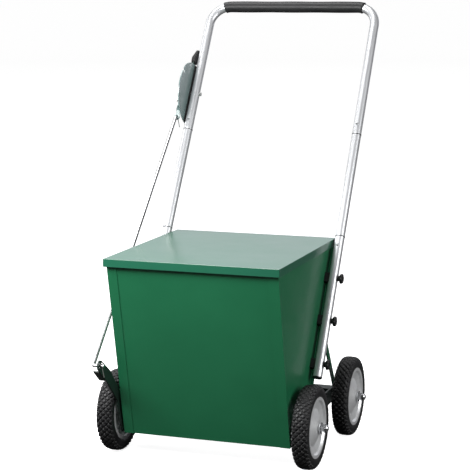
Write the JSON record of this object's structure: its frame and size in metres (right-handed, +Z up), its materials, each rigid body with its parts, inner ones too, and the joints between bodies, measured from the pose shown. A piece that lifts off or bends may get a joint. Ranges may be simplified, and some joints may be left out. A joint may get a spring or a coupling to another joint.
{
  "type": "garden spreader",
  "caption": "Walk-behind drop spreader: V-shaped sheet-steel hopper with hinged lid on wheels, sectional tube handle, and a lever and rod that open the gate.",
  "frame": {"origin": "centre of the bounding box in plan, on the ground under the tyres", "axes": "+Z up, -Y towards the front of the machine, +X to the right seen from the front"},
  "size_m": [0.612, 0.8672, 1.1049],
  "materials": {
    "hopper_paint": "satin powder coat",
    "lid_paint": "glossy paint",
    "plate_paint": "satin",
    "brace_paint": "satin",
    "dark_paint": "satin",
    "tube_metal": "bright zinc",
    "grip_foam": "closed-cell foam",
    "lever_rubber": "matt",
    "black_plastic": "matt",
    "knob_plastic": "fine grain",
    "button_steel": "satin",
    "hinge_steel": "zinc",
    "fastener_steel": "zinc",
    "rod_steel": "bright zinc",
    "axle_steel": "zinc",
    "nut_chrome": "polished",
    "tyre_rubber": "matt",
    "rim_zinc": "galvanised"
  },
  "bodies": {
    "frame": {"hopper_front": "hopper_paint", "hopper_rear": "hopper_paint", "hopper_side_left": "hopper_paint", "hopper_side_right": "hopper_paint", "hopper_floor": "hopper_paint", "hopper_hinge_leaves": "hinge_steel", "lid_hinge_pins": "hinge_steel", "lower_tube_left": "tube_metal", "lower_tube_right": "tube_metal", "middle_tube_left": "tube_metal", "middle_tube_right": "tube_metal", "upper_handle": "tube_metal", "grip": "grip_foam", "tube_plugs": "black_plastic", "tube_spacers": "black_plastic", "tube_bolts": "fastener_steel", "quadrant": "plate_paint", "quadrant_strip": "lever_rubber", "quadrant_bolts": "fastener_steel", "bushes": "black_plastic", "rear_beam": "dark_paint", "rear_axle": "axle_steel", "beam_caps": "black_plastic", "side_bars": "dark_paint", "braces": "brace_paint", "frame_bolts": "fastener_steel", "rear_nuts": "nut_chrome"},
    "lid": {"lid": "lid_paint", "lid_hinge_leaves": "hinge_steel"},
    "front_wheels": {"front_axle": "axle_steel", "agitator": "dark_paint", "tyre_front_left": "tyre_rubber", "tyre_front_right": "tyre_rubber", "rim_front_left": "rim_zinc", "rim_front_right": "rim_zinc", "front_nuts": "nut_chrome"},
    "rear_wheel_left": {"tyre_rear_left": "tyre_rubber", "rim_rear_left": "rim_zinc"},
    "rear_wheel_right": {"tyre_rear_right": "tyre_rubber", "rim_rear_right": "rim_zinc"},
    "lever": {"lever": "dark_paint", "lever_grip": "lever_rubber", "link_bolt": "fastener_steel"},
    "rod": {"link": "plate_paint", "control_rod": "rod_steel", "rod_cotters": "fastener_steel"},
    "gate": {"gate": "dark_paint", "gate_arm": "dark_paint"},
    "knob_left_1": {"knob_left_1": "knob_plastic"},
    "knob_left_2": {"knob_left_2": "knob_plastic"},
    "knob_left_3": {"knob_left_3": "knob_plastic"},
    "knob_right_1": {"knob_right_1": "knob_plastic"},
    "knob_right_2": {"knob_right_2": "knob_plastic"},
    "knob_right_3": {"knob_right_3": "knob_plastic"},
    "button_lower_left": {"button_lower_left": "button_steel"},
    "button_lower_right": {"button_lower_right": "button_steel"},
    "button_upper_left": {"button_upper_left": "button_steel"},
    "button_upper_right": {"button_upper_right": "button_steel"}
  },
  "joints": [
    {"name": "lid_hinge", "type": "hinge", "parent": "frame", "child": "lid", "pos_m": [0, 0.09094, 0.497], "axis": [1, 0, 0], "range_deg": [-100, 0]},
    {"name": "front_axle_spin", "type": "hinge", "parent": "frame", "child": "front_wheels", "pos_m": [0, -0.24534, 0.1016], "axis": [1, 0, 0], "continuous": true},
    {"name": "rear_left_spin", "type": "hinge", "parent": "frame", "child": "rear_wheel_left", "pos_m": [-0.26, 0.06666, 0.1016], "axis": [1, 0, 0], "continuous": true},
    {"name": "rear_right_spin", "type": "hinge", "parent": "frame", "child": "rear_wheel_right", "pos_m": [0.26, 0.06666, 0.1016], "axis": [1, 0, 0], "continuous": true},
    {"name": "lever_pivot", "type": "hinge", "parent": "frame", "child": "lever", "pos_m": [-0.2554, 0.27135, 0.85454], "axis": [1, 0, 0], "range_deg": [-40, 0]},
    {"name": "rod_swing", "type": "hinge", "parent": "lever", "child": "rod", "pos_m": [-0.2615, 0.21936, 0.8435], "axis": [1, 0, 0], "range_deg": [0, 42.4]},
    {"name": "gate_shaft", "type": "hinge", "parent": "frame", "child": "gate", "pos_m": [0, -0.28104, 0.068], "axis": [1, 0, 0], "range_deg": [-6.8, 0]},
    {"name": "knob_left_1_turn", "type": "hinge", "parent": "frame", "child": "knob_left_1", "pos_m": [-0.253, -0.12132, 0.22613], "axis": [1, 0, 0], "continuous": true},
    {"name": "knob_left_2_turn", "type": "hinge", "parent": "frame", "child": "knob_left_2", "pos_m": [-0.253, -0.06091, 0.32281], "axis": [1, 0, 0], "continuous": true},
    {"name": "knob_left_3_turn", "type": "hinge", "parent": "frame", "child": "knob_left_3", "pos_m": [-0.253, -0.0005, 0.41949], "axis": [1, 0, 0], "continuous": true},
    {"name": "knob_right_1_turn", "type": "hinge", "parent": "frame", "child": "knob_right_1", "pos_m": [0.253, -0.12132, 0.22613], "axis": [1, 0, 0], "continuous": true},
    {"name": "knob_right_2_turn", "type": "hinge", "parent": "frame", "child": "knob_right_2", "pos_m": [0.253, -0.06091, 0.32281], "axis": [1, 0, 0], "continuous": true},
    {"name": "knob_right_3_turn", "type": "hinge", "parent": "frame", "child": "knob_right_3", "pos_m": [0.253, -0.0005, 0.41949], "axis": [1, 0, 0], "continuous": true},
    {"name": "button_lower_left_press", "type": "slide", "parent": "frame", "child": "button_lower_left", "axis": [0, 0.848, -0.5299], "range_m": [0, 0.003], "stiffness_N_per_m": 400},
    {"name": "button_lower_right_press", "type": "slide", "parent": "frame", "child": "button_lower_right", "axis": [0, 0.848, -0.5299], "range_m": [0, 0.003], "stiffness_N_per_m": 400},
    {"name": "button_upper_left_press", "type": "slide", "parent": "frame", "child": "button_upper_left", "axis": [0, 0.848, -0.5299], "range_m": [0, 0.003], "stiffness_N_per_m": 400},
    {"name": "button_upper_right_press", "type": "slide", "parent": "frame", "child": "button_upper_right", "axis": [0, 0.848, -0.5299], "range_m": [0, 0.003], "stiffness_N_per_m": 400}
  ],
  "couplings": [
    {"joint": "rod_swing", "follows": "lever_pivot", "ratio": -1.0476},
    {"joint": "gate_shaft", "follows": "lever_pivot", "ratio": 0.16819}
  ]
}
